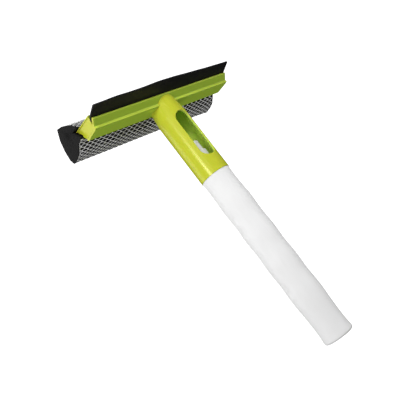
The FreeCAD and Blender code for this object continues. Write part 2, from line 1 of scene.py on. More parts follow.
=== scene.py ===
"""Looks of a hand window squeegee: lime head, rubber blade, netted sponge and spray bottle.

Lengths in the classes are in millimetres, in the part's own frame: +Z up the handle, +X along
the blade, the blade to -Y and the sponge to +Y. Points of the head's section are (y, height
above the ridge under the blade). Meshes are made in metres, and the sizes inside a finish are
in metres too, since a finish reads the object's own coordinates.
"""
from __future__ import annotations

import logging
from dataclasses import dataclass
from enum import Enum
from typing import Sequence

import bpy
import numpy as np
from mathutils import Matrix, Vector

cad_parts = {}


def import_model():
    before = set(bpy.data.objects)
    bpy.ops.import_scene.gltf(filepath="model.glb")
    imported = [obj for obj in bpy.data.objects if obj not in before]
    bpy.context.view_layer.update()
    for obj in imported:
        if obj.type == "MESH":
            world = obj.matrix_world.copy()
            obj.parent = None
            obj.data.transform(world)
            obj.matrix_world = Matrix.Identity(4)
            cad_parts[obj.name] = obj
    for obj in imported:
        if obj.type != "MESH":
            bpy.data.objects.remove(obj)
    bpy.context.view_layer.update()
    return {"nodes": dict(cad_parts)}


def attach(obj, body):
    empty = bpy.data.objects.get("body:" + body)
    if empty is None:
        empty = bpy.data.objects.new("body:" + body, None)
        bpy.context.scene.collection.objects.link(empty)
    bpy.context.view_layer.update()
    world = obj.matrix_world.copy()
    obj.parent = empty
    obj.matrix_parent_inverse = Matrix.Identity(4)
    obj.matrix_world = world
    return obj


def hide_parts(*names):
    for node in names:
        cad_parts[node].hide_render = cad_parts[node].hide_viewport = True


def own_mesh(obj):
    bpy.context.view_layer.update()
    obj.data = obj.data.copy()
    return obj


LOG = logging.getLogger("squeegee")
MM = 0.001
RIDGE_HEIGHT = 305.4
SEED = 11
Color = tuple[float, float, float]
Place = tuple[float, float, float]
Point = tuple[float, float]
Wave = tuple[float, float, float]
Feed = tuple[bpy.types.Node, "str | int"]


# ---------------------------------------------------------------- outlines and grids


def unit(v: np.ndarray) -> np.ndarray:
    """Vectors along the last axis scaled to length one."""
    return v / np.maximum(np.linalg.norm(v, axis=-1, keepdims=True), 1e-12)


def ramp(value: np.ndarray, span: float) -> np.ndarray:
    """A straight rise from 0 where the value is 0 to 1 where it reaches the span."""
    return np.clip(value / span, 0, 1)


def waves(x: np.ndarray, w: np.ndarray, parts: Sequence[Wave]) -> np.ndarray:
    """Slow waves: size * sin(x / length along + w / length around), summed over the parts."""
    return sum(size * np.sin(x / along + w / around) for size, along, around in parts)


def from_section(x: np.ndarray, point: np.ndarray) -> np.ndarray:
    """Positions in the part's frame, from x and points of the head's section."""
    return np.stack([x, point[..., 0], point[..., 1] + RIDGE_HEIGHT], axis=-1)


def rounded_outline(corners: Sequence[Point], radii: Sequence[float],
                    steps: int = 7) -> np.ndarray:
    """A closed outline whose corners are rounded.

    Each corner's arc is swept from one tangent point to the other: the arm from the arc's
    centre to the first tangent point is turned evenly into the arm to the second.

    Args:
        corners: The sharp corners, in order.
        radii: Each corner's radius; 0 leaves it sharp.
        steps: Points on each arc.

    Returns:
        The outline's points, one row each, with no point repeated.
    """
    p = np.array(corners, float)
    r = np.maximum(np.array(radii, float), 1e-4)[:, None]
    back, ahead = unit(np.roll(p, 1, axis=0) - p), unit(np.roll(p, -1, axis=0) - p)
    half = np.arccos(np.clip((back * ahead).sum(axis=1, keepdims=True), -1, 1)) / 2
    centre = p + unit(back + ahead) * r / np.sin(half)
    first = p + back * r / np.tan(half) - centre
    last = p + ahead * r / np.tan(half) - centre
    turn = (np.pi - 2 * half)[:, None, :]
    t = np.linspace(0, 1, steps)[None, :, None]
    arc = np.sin((1 - t) * turn) * first[:, None] + np.sin(t * turn) * last[:, None]
    points = (centre[:, None] + arc / np.sin(turn)).reshape(-1, 2)
    keep = np.linalg.norm(points - np.roll(points, 1, axis=0), axis=1) > 1e-3
    return points[keep]


def crossing(p: Point, q: Point, r: Point, s: Point) -> np.ndarray:
    """Where the line p-q meets the line r-s."""
    a, b, c, e = (np.array(k, float) for k in (p, q, r, s))
    d, f = b - a, e - c
    return a + d * ((c[0] - a[0]) * f[1] - (c[1] - a[1]) * f[0]) / (d[0] * f[1] - d[1] * f[0])


def tube_faces(rows: int, cols: int) -> np.ndarray:
    """Quads over rows by cols points numbered row by row, each row closed into a ring.

    Args:
        rows: Number of rows of points.
        cols: Number of points in a row.

    Returns:
        The quads, one row each.
    """
    r, c = np.arange(rows - 1)[:, None], np.arange(cols)[None, :]
    here, above, beside = r * cols, (r + 1) * cols, (c + 1) % cols
    corners = (here + c, here + beside, above + beside, above + c)
    return np.stack(np.broadcast_arrays(*corners), -1).reshape(-1, 4)


def capped_faces(rows: int, cols: int) -> list[list[int]]:
    """Quads of a closed tube of rows rings, with a many-sided face on each end."""
    ends = [list(range(cols))[::-1], list(range((rows - 1) * cols, rows * cols))]
    return tube_faces(rows, cols).tolist() + ends


def new_piece(name: str, verts: np.ndarray, faces: Sequence[Sequence[int]],
              smooth: bool = True) -> bpy.types.Object:
    """Put a mesh given in millimetres into the scene, at the origin.

    Args:
        name: The piece's name.
        verts: Corner positions in millimetres, one row each.
        faces: Rows of corner numbers.
        smooth: Whether the faces are shaded smooth.

    Returns:
        The new object.
    """
    mesh = bpy.data.meshes.new(name)
    mesh.from_pydata((verts.reshape(-1, 3) * MM).tolist(), [], faces)
    mesh.validate()
    if smooth:
        mesh.shade_smooth()
    piece = bpy.data.objects.new(name, mesh)
    bpy.context.scene.collection.objects.link(piece)
    LOG.info("%s: %d faces", name, len(mesh.polygons))
    return piece


def fit_piece(piece: bpy.types.Object, body: str, material: bpy.types.Material, slot: str,
              *stands_for: str) -> None:
    """Give a piece its finish and body, and hide the nodes that it stands for.

    Args:
        piece: The new piece.
        body: The body that it moves with.
        material: Its finish.
        slot: The slot of that finish; not used.
        *stands_for: The nodes that it hides.
    """
    piece.data.materials.append(material)
    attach(piece, body)
    if stands_for:
        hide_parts(*stands_for)


# ---------------------------------------------------------------- finishes


class Noise(Enum):
    """Which texture makes a surface's fine relief: its node and the output that is read."""

    GRAIN = ("ShaderNodeTexNoise", "Fac")
    CELLS = ("ShaderNodeTexVoronoi", "Distance")


class Graph:
    """A material's node tree, with short calls to add and join nodes.

    A feed is a node together with the output of it that is read.
    """

    def __init__(self, name: str) -> None:
        """Start a material with one Principled shader and object coordinates."""
        self.material = bpy.data.materials.new(name)
        self.material.use_nodes = True
        self.tree = self.material.node_tree
        self.tree.nodes.clear()
        self.shader = self.add("ShaderNodeBsdfPrincipled")
        self.join((self.shader, "BSDF"), self.add("ShaderNodeOutputMaterial"), "Surface")
        self.place = (self.add("ShaderNodeTexCoord"), "Object")

    def add(self, kind: str, **settings: object) -> bpy.types.Node:
        """Add a node.

        Args:
            kind: The node's type name.
            **settings: Its properties, or its inputs' values, with underscores for spaces.

        Returns:
            The node.
        """
        node = self.tree.nodes.new(kind)
        for key, value in settings.items():
            socket = node.inputs.get(key.replace("_", " "))
            if socket is None:
                setattr(node, key, value)
            else:
                socket.default_value = value
        return node

    def join(self, source: Feed, target: bpy.types.Node, socket: str | int) -> None:
        """Link a feed to a node's input."""
        self.tree.links.new(source[0].outputs[source[1]], target.inputs[socket])

    def set(self, **values: object) -> None:
        """Set the shader's own sockets by name, with underscores for spaces."""
        for key, value in values.items():
            self.shader.inputs[key.replace("_", " ")].default_value = value

    def axes(self) -> tuple[Feed, ...]:
        """The object's own x, y and z."""
        node = self.add("ShaderNodeSeparateXYZ")
        self.join(self.place, node, "Vector")
        return (node, "X"), (node, "Y"), (node, "Z")

    def math(self, kind: str, *values: Feed | float) -> Feed:
        """A sum of the given kind on numbers or feeds."""
        node = self.add("ShaderNodeMath", operation=kind)
        for slot, value in enumerate(values):
            if isinstance(value, float):
                node.inputs[slot].default_value = value
            else:
                self.join(value, node, slot)
        return node, 0

    def step(self, source: Feed, span: Point) -> Feed:
        """A smooth step from 0 at the span's first value to 1 at its second."""
        node = self.add("ShaderNodeMapRange", interpolation_type="SMOOTHSTEP",
                        From_Min=span[0], From_Max=span[1])
        self.join(source, node, "Value")
        return node, "Result"

    def blend(self, share: Feed, first: Feed | Color, second: Feed | Color) -> Feed:
        """Mix two colours.

        Args:
            share: 0 gives the first colour and 1 the second.
            first: A feed, or one plain colour.
            second: The same.

        Returns:
            The mixed colour.
        """
        node = self.add("ShaderNodeMix", data_type="RGBA")
        self.join(share, node, "Factor")
        for source, letter in ((first, "A"), (second, "B")):
            socket = next(i for i in node.inputs if i.name == letter and i.type == "RGBA")
            if isinstance(source[0], float):
                socket.default_value = (*source, 1.0)
            else:
                self.tree.links.new(source[0].outputs[source[1]], socket)
        return node, next(i for i, o in enumerate(node.outputs) if o.type == "RGBA")

    def texture(self, kind: Noise, scale: float, stretch: Place = (1.0, 1.0, 1.0),
                **settings: float) -> Feed:
        """A texture on object coordinates, stretched along the axes by a mapping."""
        kind_name, output = kind.value
        turn = self.add("ShaderNodeMapping", Scale=stretch)
        node = self.add(kind_name, Scale=scale, **settings)
        self.join(self.place, turn, "Vector")
        self.join((turn, "Vector"), node, "Vector")
        return node, output

    def two_tone(self, mask: Feed, dark: Color, light: Color, span: Point) -> Feed:
        """A colour ramp from dark to light over a span of a mask's values."""
        node = self.add("ShaderNodeValToRGB")
        low, high = node.color_ramp.elements
        low.position, high.position = span
        low.color, high.color = (*dark, 1.0), (*light, 1.0)
        self.join(mask, node, "Fac")
        return node, "Color"

    def relief(self, source: Feed, depth: float, under: Feed | None = None) -> Feed:
        """Bump of a depth in metres from a texture, on top of another bump if one is given."""
        bump = self.add("ShaderNodeBump", Strength=1.0, Distance=depth)
        self.join(source, bump, "Height")
        if under is not None:
            self.join(under, bump, "Normal")
        self.join((bump, "Normal"), self.shader, "Normal")
        return bump, "Normal"


@dataclass(frozen=True)
class PaintedShading:
    """Painted shade and painted highlights on the lime moulding, away from the neck's outer skin
    and the channel's ends.

    The neck is a post whose top narrows. Each span runs from where a mask is 0 to where it
    is 1, along a distance from the Z axis or along an axis.
    """

    # Painted shade of the channel, painted shade inside the neck, painted highlight on the lip and
    # ridge.
    painted_shade: Color = (0.39, 0.57, 0.05)
    inside: Color = (0.62, 0.82, 0.13)
    painted_highlight: Color = (0.60, 0.77, 0.08)
    taper_start: float = 0.2902
    taper: float = 0.1
    inner_skin: Point = (0.0170, 0.0175)
    outer_skin: Point = (0.0183, 0.0180)
    neck_top: Point = (0.3185, 0.3170)
    channel_end: Point = (0.0993, 0.0997)
    window_top: Point = (0.296, 0.303)
    channel_floor: Point = (0.300, 0.303)
    lip_front: Point = (-0.0155, -0.0160)
    lip_height: Point = (0.3134, 0.3141)
    ridge_front: Point = (-0.0096, -0.0099)
    ridge_height: Point = (0.3091, 0.3083)

    def mix(self, g: Graph, tone: Feed) -> Feed:
        """Mix the painted shade and painted highlights into the skin's colour.

        The skin is where the distance from the Z axis, plus the taper times the height above
        its start, is near the post's radius, up to the neck's top. Elsewhere the channel is a
        darker, greener painted shade, its lip and its ridge get a lighter painted highlight, and
        the inside of the neck is a greener painted shade, lighter than the channel's, that turns
        into it above the window.

        Args:
            g: The material's graph.
            tone: The skin's colour.

        Returns:
            The mixed colour.
        """
        x, y, z = g.axes()
        radius = g.math("SQRT", g.math("ADD", g.math("POWER", x, 2.0), g.math("POWER", y, 2.0)))
        rise = g.math("MAXIMUM", g.math("SUBTRACT", z, self.taper_start), 0.0)
        over = g.math("ADD", radius, g.math("MULTIPLY", rise, self.taper))
        wall = g.math("MULTIPLY", g.step(over, self.inner_skin), g.step(over, self.outer_skin))
        neck = g.math("MULTIPLY", wall, g.step(z, self.neck_top))
        ends = g.step(g.math("ABSOLUTE", x), self.channel_end)
        # Where the painted highlight lies: the channel's lip and its ridge.
        lip = g.math("MULTIPLY", g.step(y, self.lip_front), g.step(z, self.lip_height))
        ridge = g.math("MULTIPLY", g.step(y, self.ridge_front), g.step(z, self.ridge_height))
        # Painted shade inside the neck and in the channel, with the painted highlight on the lip
        # and ridge.
        within = g.blend(g.step(z, self.window_top), self.inside, self.painted_shade)
        channel = g.blend(g.math("MAXIMUM", lip, ridge), self.painted_shade, self.painted_highlight)
        shaded_colour = g.blend(g.step(z, self.channel_floor), within, channel)
        return g.blend(g.math("MAXIMUM", neck, ends), shaded_colour, tone)


@dataclass(frozen=True)
class Moulded:
    """Moulded plastic: faint clouding of its colour, fine surface grain and a soft gloss.

    A foot is a painted shade: a plain darker colour at the bottom that turns into the rest over
    a span of heights.
    """

    name: str
    light: Color
    dark: Color
    roughness: float = 0.35
    rough_spread: Point = (-0.04, 0.06)
    mottle: float = 120.0
    grain: float = 1400.0
    grain_depth: float = 0.000012
    flow: float = 60.0
    flow_stretch: Place = (1.0, 1.0, 0.25)
    flow_depth: float = 0.000012
    cloud: float = 45.0
    cloud_span: Point = (0.3, 0.7)
    scatter: float = 0.0
    scatter_reach: Color = (1.0, 1.0, 1.0)
    scatter_scale: float = 0.002
    specular: float = 0.5
    tint: Color = (1.0, 1.0, 1.0)
    painted_shading: PaintedShading | None = None
    # Painted shade at the bottom, and the span of heights over which it fades out.
    foot: Color | None = None
    low_shade_span: Point = (-0.04, 0.16)

    def build(self) -> bpy.types.Material:
        """Make the material."""
        g = Graph(self.name)
        clouds = g.texture(Noise.GRAIN, self.cloud, Detail=3.0)
        tone = g.two_tone(clouds, self.dark, self.light, self.cloud_span)
        # Painted shade: darker towards the bottom.
        if self.foot is not None:
            tone = g.blend(g.step(g.axes()[2], self.low_shade_span), self.foot, tone)
        # Painted shade in the channel and inside the neck, painted highlight on the lip and ridge.
        if self.painted_shading is not None:
            tone = self.painted_shading.mix(g, tone)
        g.join(tone, g.shader, "Base Color")
        flow = g.texture(Noise.GRAIN, self.flow, self.flow_stretch, Detail=2.0)
        grain = g.texture(Noise.GRAIN, self.grain, Detail=2.0)
        g.relief(grain, self.grain_depth, g.relief(flow, self.flow_depth))
        smoothest, roughest = (self.roughness + change for change in self.rough_spread)
        rough = g.add("ShaderNodeMapRange", To_Min=smoothest, To_Max=roughest)
        g.join(g.texture(Noise.GRAIN, self.mottle, Detail=4.0), rough, "Value")
        g.join((rough, "Result"), g.shader, "Roughness")
        g.set(Specular_IOR_Level=self.specular, Specular_Tint=(*self.tint, 1.0),
              Subsurface_Weight=self.scatter)
        if self.scatter > 0:
            g.set(Subsurface_Radius=self.scatter_reach, Subsurface_Scale=self.scatter_scale)
        return g.material


@dataclass(frozen=True)
class Rubber:
    """Black rubber: a matt skin with fine speckle and faint drag lines along the blade."""

    name: str
    light: Color = (0.0145, 0.0145, 0.015)
    dark: Color = (0.009, 0.009, 0.0095)
    roughness: float = 0.55
    specular: float = 0.25
    speck: float = 260.0
    speck_span: Point = (0.35, 0.65)
    drag: float = 500.0
    drag_stretch: Place = (0.02, 1.0, 1.0)
    drag_depth: float = 0.00002
    grain: float = 1800.0
    grain_depth: float = 0.00001

    def build(self) -> bpy.types.Material:
        """Make the material."""
        g = Graph(self.name)
        speck = g.texture(Noise.GRAIN, self.speck, Detail=5.0, Roughness=0.7)
        tone = g.two_tone(speck, self.dark, self.light, self.speck_span)
        g.join(tone, g.shader, "Base Color")
        drag = g.texture(Noise.GRAIN, self.drag, self.drag_stretch, Detail=2.0)
        grain = g.texture(Noise.GRAIN, self.grain, Detail=2.0)
        g.relief(grain, self.grain_depth, g.relief(drag, self.drag_depth))
        g.set(Roughness=self.roughness, Specular_IOR_Level=self.specular)
        return g.material


@dataclass(frozen=True)
class OpenFoam:
    """Charcoal open-cell foam: round pores of two sizes, darker inside as a painted shade."""

    name: str
    light: Color = (0.012, 0.012, 0.012)
    dark: Color = (0.002, 0.002, 0.002)
    pores: float = 900.0
    pore_shade_span: Point = (0.05, 0.5)
    pore_depth: float = 0.00025
    voids: float = 380.0
    void_depth: float = 0.0004

    def build(self) -> bpy.types.Material:
        """Make the material."""
        g = Graph(self.name)
        pores = g.texture(Noise.CELLS, self.pores, Randomness=1.0)
        voids = g.texture(Noise.CELLS, self.voids, Randomness=1.0)
        # Painted shade: each pore darker towards its sunk middle.
        g.join(g.two_tone(pores, self.dark, self.light, self.pore_shade_span), g.shader, "Base Color")
        g.relief(pores, self.pore_depth, g.relief(voids, self.void_depth))
        g.set(Roughness=0.95, Specular_IOR_Level=0.1, Sheen_Weight=0.04, Sheen_Roughness=0.6)
        return g.material


@dataclass(frozen=True)
class Yarn:
    """Grey polyester yarn: fine slanting filaments, lighter where they stand up as a painted
    highlight.
    """

    name: str
    light: Color = (0.93, 0.93, 0.93)
    dark: Color = (0.7, 0.7, 0.7)
    filaments: float = 1500.0
    lay_stretch: Place = (1.0, 0.35, 0.35)
    lay_highlight_span: Point = (0.3, 0.6)
    lay_depth: float = 0.0002

    def build(self) -> bpy.types.Material:
        """Make the material."""
        g = Graph(self.name)
        lay = g.texture(Noise.GRAIN, self.filaments, self.lay_stretch, Detail=3.0, Roughness=0.6)
        # Painted highlight and shade: filaments lighter where they stand up, darker between.
        g.join(g.two_tone(lay, self.dark, self.light, self.lay_highlight_span), g.shader, "Base Color")
        g.relief(lay, self.lay_depth)
        g.set(Roughness=0.7, Specular_IOR_Level=0.3, Sheen_Weight=0.25, Sheen_Roughness=0.4)
        return g.material


@dataclass(frozen=True)
class Steel:
    """Bright drawn steel with fine lines."""

    name: str
    roughness: float
    light: Color = (0.62, 0.62, 0.63)
    dark: Color = (0.45, 0.45, 0.46)
    lines: float = 3000.0
    line_span: Point = (0.3, 0.7)
    line_depth: float = 0.000004

    def build(self) -> bpy.types.Material:
        """Make the material."""
        g = Graph(self.name)
        lines = g.texture(Noise.GRAIN, self.lines, Detail=2.0)
        g.join(g.two_tone(lines, self.dark, self.light, self.line_span), g.shader, "Base Color")
        g.relief(lines, self.line_depth)
        g.set(Metallic=1.0, Roughness=self.roughness)
        return g.material


# ---------------------------------------------------------------- sponge


@dataclass
class Sponge:
    """The foam block and the net sleeve that is drawn over it and gathered into the channel."""

    back: tuple[Point, ...] = (
        (11.2, 20.8), (19.4, 30.0), (30.8, 37.2), (40.8, 40.8), (48.8, 31.0), (53.2, 19.0),
        (54.6, 8.4), (52.2, 0.9), (41.0, 0.8), (33.6, 2.0), (28.6, 5.2), (23.6, 8.0))
    seat: tuple[Point, ...] = ((15.0, 6.9), (22.9, 20.25), (11.2, 18.9))
    middle: Point = (30.0, 26.0)
    half_length: float = 104.0
    corner: float = 3.0
    tight_corners: tuple[int, ...] = (0, 3)
    seat_corners: tuple[float, ...] = (1.0, 0.6, 0.4)
    outline_points: int = 1400
    under_net: float = 0.55
    proud: float = 0.35
    spread: float = 0.35
    right_swell: float = 0.7
    right_start: float = 60.0
    edge_fade: float = 12.0
    lumps: tuple[Wave, ...] = ((0.18, 31.0, 19.0),)
    strand_pitch: float = 3.9
    strand_swing: float = 1.8
    knot_hold: float = 1.6
    mesh_period: float = 5.65
    lean: float = 0.11
    loop_depth: float = 1.3
    hem_inset: float = 0.5
    strand_width: float = 0.7
    strand_height: float = 0.26
    strand_gap: float = 0.02
    knot_rise: float = 0.04
    knot_sharpness: int = 6
    knot_wider: float = 0.25
    knot_higher: float = 0.15
    strand_rings: int = 210
    warp_along: tuple[Wave, ...] = ((0.35, 19.0, 14.0), (0.2, 7.7, -23.0))
    warp_around: tuple[Wave, ...] = ((0.4, 27.0, -11.0), (0.15, 8.9, 17.0))
    pillow: float = 0.06
    hole_reach: float = 1.1
    end_dome: float = 0.48
    dome_sizes: tuple[float, ...] = (0.03, 0.12, 0.25, 0.4, 0.55, 0.7, 0.82, 0.91, 0.965, 0.99)
    edge_steps: tuple[float, ...] = (0.0, 0.15, 0.45, 0.9)
    edge_sizes: tuple[float, ...] = (0.997, 1.0, 1.0, 1.0)
    end_lip: float = 0.35
    end_lip_start: float = 2.4
    end_lip_rise: float = 1.4
    net_start: float = 1.0
    net_fade: float = 2.0
    net_end_fade: float = 1.0
    shoulder: float = 1.6
    foam_rings: int = 226
    foam_columns: int = 232
    channel_end: float = 100.25
    mouth_way: Point = (-0.861, 0.508)
    mouth_rise: Point = (1.5, 2.5)
    roof_fall: Point = (0.5, 2.0)
    past_rise: float = 0.8
    scallop: float = 2.5
    lobe: Point = (0.7, 4.1)
    lump: Point = (0.5, 1.9)
    ragged_skin: float = 0.06
    ragged_end: float = 0.07

    def __post_init__(self) -> None:
        """Work out the outline, its arc length and its outward normals."""
        radii = [self.corner] * len(self.back) + list(self.seat_corners)
        for k in self.tight_corners:
            radii[k] = self.corner / 2
        loop = rounded_outline(self.back + self.seat, radii)
        loop = np.vstack([loop, loop[:1]])
        run = np.concatenate([[0], np.cumsum(np.linalg.norm(np.diff(loop, axis=0), axis=1))])
        self.length = run[-1]
        self.fine = np.linspace(0, self.length, self.outline_points)
        self.path = np.stack([np.interp(self.fine, run, loop[:, i]) for i in (0, 1)], axis=1)
        step = np.roll(self.path, -3, axis=0) - np.roll(self.path, 3, axis=0)
        self.normal = unit(np.stack([-step[:, 1], step[:, 0]], axis=1))
        self.seat_run, self.roof_run = (
            self.fine[np.linalg.norm(self.path - np.array(p), axis=1).argmin()]
            for p in self.seat[:2])

    def at(self, w: np.ndarray) -> tuple[np.ndarray, np.ndarray]:
        """Points of the outline and outward normals at arc lengths w."""
        w = np.mod(w, self.length)
        point, normal = (
            np.stack([np.interp(w, self.fine, table[:, i]) for i in (0, 1)], axis=-1)
            for table in (self.path, self.normal))
        return point, unit(normal)

    def warp(self, x: np.ndarray, w: np.ndarray) -> tuple[np.ndarray, np.ndarray]:
        """Slow waves that stretch the mesh unevenly along x and around the sponge."""
        return waves(x, w, self.warp_along), waves(x, w, self.warp_around)

    def swing(self, w: np.ndarray) -> np.ndarray:
        """A strand's sideways swing: a wave flattened where neighbouring strands are knotted."""
        wave = np.sin(2 * np.pi * w / self.mesh_period)
        return np.tanh(self.knot_hold * wave) / np.tanh(self.knot_hold)

    def side(self, number: np.ndarray) -> np.ndarray:
        """Which way a strand swings first: 1 for even numbers and -1 for odd ones."""
        return 1 - 2 * np.mod(number, 2)

    def slant(self, w: np.ndarray) -> np.ndarray:
        """How far a strand leans along x: in step with w, none half way round."""
        return self.lean * (self.seat_run / 2 - w)

    def strand_x(self, number: np.ndarray, w: np.ndarray) -> np.ndarray:
        """Where a strand of a given number lies along x: evenly spaced, swinging, leaning."""
        swing = self.side(number) * self.strand_swing * self.swing(w)
        return number * self.strand_pitch + self.slant(w) + swing

    def swell(self, x: np.ndarray, w: np.ndarray) -> np.ndarray:
        """How much the foam stands up inside the holes of the net, from 0 at a strand to 1."""
        dx, dw = self.warp(x, w)
        near = np.round((x - self.slant(w)) / self.strand_pitch)
        gaps = [np.abs(x - dx - self.strand_x(near + k, w - dw)) for k in range(-2, 3)]
        return 1 - np.exp(-(np.min(gaps, axis=0) / self.hole_reach) ** 2)

    def flare(self, x: np.ndarray, w: np.ndarray) -> np.ndarray:
        """How far the outline grows outwards: more towards the right end, with slow lumps."""
        free = ramp(np.minimum(w, self.seat_run - w), self.edge_fade)
        right = ramp(x - self.right_start, self.half_length - self.right_start) ** 2
        spread = self.spread * x / self.half_length + self.right_swell * right
        return free * (self.proud + spread + waves(x, w, self.lumps))

    def foam_stations(self) -> tuple[np.ndarray, np.ndarray]:
        """Where the foam's rings lie.

        Rings run from the middle of the left end out to its edge, along the block, and in to
        the middle of the right end.

        Returns:
            Each ring's x, and its size as a share of the outline's.
        """
        half = self.half_length
        dome = -half - self.end_dome * (1 - np.array(self.dome_sizes) ** 2)
        left = np.concatenate([dome, -half + np.array(self.edge_steps)])
        left_size = np.array(self.dome_sizes + self.edge_sizes)
        along = np.linspace(-half + self.shoulder, half - self.shoulder, self.foam_rings)
        x = np.concatenate([left, along, -left[::-1]])
        return x, np.concatenate([left_size, np.ones(self.foam_rings), left_size[::-1]])

    def mouth_bulge(self, x: np.ndarray, w: np.ndarray) -> np.ndarray:
        """How far the side that faces the channel's mouth bulges past the channel's ends.

        The bulge is an even one plus a sine of lobes less a sine of lumps around w. It rises
        from just before the seat's corner, falls before the roof's, and starts at the
        channel's end.

        Args:
            x: Places along the sponge.
            w: Arc lengths.

        Returns:
            The bulge at each.
        """
        rise = ramp(w - self.seat_run + self.mouth_rise[0], self.mouth_rise[1])
        fall = ramp(self.roof_run + self.roof_fall[0] - w, self.roof_fall[1])
        past = ramp(np.abs(x) - self.channel_end, self.past_rise)
        lobes = self.lobe[0] * np.sin(2 * np.pi * w / self.lobe[1])
        lumps = self.lump[0] * np.sin(w / self.lump[1])
        return rise * fall * past * (self.scallop + lobes - lumps)

    def foam(self, finish: OpenFoam) -> bpy.types.Object:
        """The foam: the outline carried along x, pillowed in the net's holes, its ends domed.

        A ring's point is the outline moved outwards by the flare, less the net's room, plus
        the pillow in the net's holes and a lip at the ends, then moved towards the mouth by
        its bulge, and last drawn in to the section's middle by the ring's size. Where no net
        lies over it, the skin is ragged.

        Args:
            finish: The foam's finish.

        Returns:
            The piece.
        """
        x, size = self.foam_stations()
        cols, half = self.foam_columns, self.half_length
        xx, ww = np.meshgrid(x, np.arange(cols) * self.length / cols, indexing="ij")
        point, normal = self.at(ww)
        covered = (ramp(self.seat_run - self.net_start - ww, self.net_fade)
                   * ramp(ww, self.net_fade))
        netted = covered * ramp(half - self.shoulder - np.abs(xx), self.net_end_fade)
        lift = self.flare(xx, ww) - self.under_net + self.pillow * self.swell(xx, ww) * netted
        at_end = ramp(np.abs(xx) - half + self.end_lip_start, self.end_lip_rise)
        lift += self.end_lip * covered * at_end
        point = point + normal * lift[..., None]
        point = point + self.mouth_bulge(xx, ww)[..., None] * np.array(self.mouth_way)
        ragged = np.random.default_rng(SEED).normal(0, self.ragged_skin, xx.shape)
        point = point + normal * (ragged * (1 - netted))[..., None]
        centre = np.array(self.middle)
        point = centre + (point - centre) * size[:, None, None]
        ragged = np.random.default_rng(SEED + 1).normal(0, self.ragged_end, xx.shape)
        xx = xx + ragged * (size < 1)[:, None]
        piece = new_piece("foam_block", from_section(xx, point), capped_faces(len(x), cols))
        fit_piece(piece, "head", finish.build(), "black_foam", "sponge_foam")
        return piece

    def strand_lines(self) -> tuple[np.ndarray, np.ndarray]:
        """The strands' middle lines: one row of arc lengths for each strand's number.

        Returns:
            The strands' numbers and the arc lengths, both of one shape.
        """
        count = int((self.half_length - 1.0) / self.strand_pitch) + 1
        number = np.arange(-count, count + 1)[:, None]
        w = np.linspace(-2.0, self.seat_run + 0.5, self.strand_rings)[None, :]
        return tuple(np.broadcast_arrays(number, w))

    def net(self, finish: Yarn) -> bpy.types.Object:
        """The net: strands that run round the sponge, each swinging to meet its neighbours.

        A strand's middle line is the outline lifted by half its height, moved along x by its
        swing, and kept within a looped hem; its section is an oval of six points, wider and
        higher at the knots.

        Args:
            finish: The yarn's finish.

        Returns:
            The piece.
        """
        number, w = self.strand_lines()
        swing, side = self.swing(w), self.side(number)
        x = self.strand_x(number, w)
        dx, dw = self.warp(x, w)
        hem = self.half_length - self.hem_inset - self.loop_depth * (0.5 + 0.5 * side * swing)
        x = np.clip(x + dx, -hem, hem)
        point, normal = self.at(w + dw)
        knot = np.abs(swing) ** self.knot_sharpness
        over = self.strand_height / 2 + self.strand_gap + self.knot_rise * side * knot
        lift = self.flare(x, w + dw) - self.under_net + over
        middle = from_section(x, point + normal * lift[..., None])
        out = np.stack([np.zeros_like(x), normal[..., 0], normal[..., 1]], axis=-1)
        across = unit(np.cross(out, unit(np.gradient(middle, axis=1))))
        sides = 6
        angle = (np.arange(sides) * 2 * np.pi / sides)[:, None]
        wide = (self.strand_width / 2 * (1 + self.knot_wider * knot))[..., None, None]
        high = (self.strand_height / 2 * (1 + self.knot_higher * knot))[..., None, None]
        ring = (wide * np.cos(angle) * across[..., None, :]
                + high * np.sin(angle) * out[..., None, :])
        strands, rows = w.shape
        first = np.array([[0, 5, 4, 3], [0, 3, 2, 1]])
        last = np.array([[0, 1, 2, 3], [0, 3, 4, 5]]) + (rows - 1) * sides
        one = np.concatenate([tube_faces(rows, sides), first, last])
        faces = (one[None] + np.arange(strands)[:, None, None] * rows * sides).reshape(-1, 4)
        piece = new_piece("net_sleeve", middle[..., None, :] + ring, faces.tolist())
        fit_piece(piece, "head", finish.build(), "net_yarn", "sponge_net")
        return piece


# ---------------------------------------------------------------- blade


